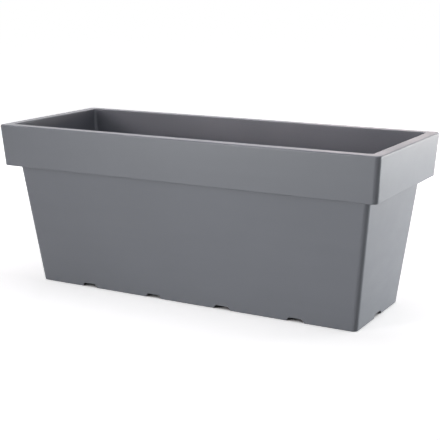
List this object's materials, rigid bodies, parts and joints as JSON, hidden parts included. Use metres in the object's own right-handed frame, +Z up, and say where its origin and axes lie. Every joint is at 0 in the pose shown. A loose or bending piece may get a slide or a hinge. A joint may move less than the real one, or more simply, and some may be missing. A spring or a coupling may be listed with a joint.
{
  "type": "planter",
  "caption": "Long rectangular trough planter with tapered walls, a wide band round the rim, a notched skirt, a raised floor and push-in drain plugs.",
  "frame": {"origin": "middle of the base, on the ground", "axes": "+X along the length, to the right seen from the front; +Y across the width, to the back; +Z up"},
  "size_m": [0.8, 0.316, 0.325],
  "materials": {
    "tub_plastic": "fine matt grain, moulded through in mid grey",
    "plug_plastic": "smooth, slightly soft, dark grey"
  },
  "bodies": {
    "tub": {"tub": "tub_plastic"},
    "drain_plug_1": {"drain_plug_1": "plug_plastic"},
    "drain_plug_2": {"drain_plug_2": "plug_plastic"},
    "drain_plug_3": {"drain_plug_3": "plug_plastic"},
    "drain_plug_4": {"drain_plug_4": "plug_plastic"}
  },
  "joints": [
    {"name": "drain_plug_1_lift", "type": "slide", "parent": "tub", "child": "drain_plug_1", "axis": [0, 0, 1], "range_m": [0, 0.33]},
    {"name": "drain_plug_2_lift", "type": "slide", "parent": "tub", "child": "drain_plug_2", "axis": [0, 0, 1], "range_m": [0, 0.33]},
    {"name": "drain_plug_3_lift", "type": "slide", "parent": "tub", "child": "drain_plug_3", "axis": [0, 0, 1], "range_m": [0, 0.33]},
    {"name": "drain_plug_4_lift", "type": "slide", "parent": "tub", "child": "drain_plug_4", "axis": [0, 0, 1], "range_m": [0, 0.33]}
  ]
}
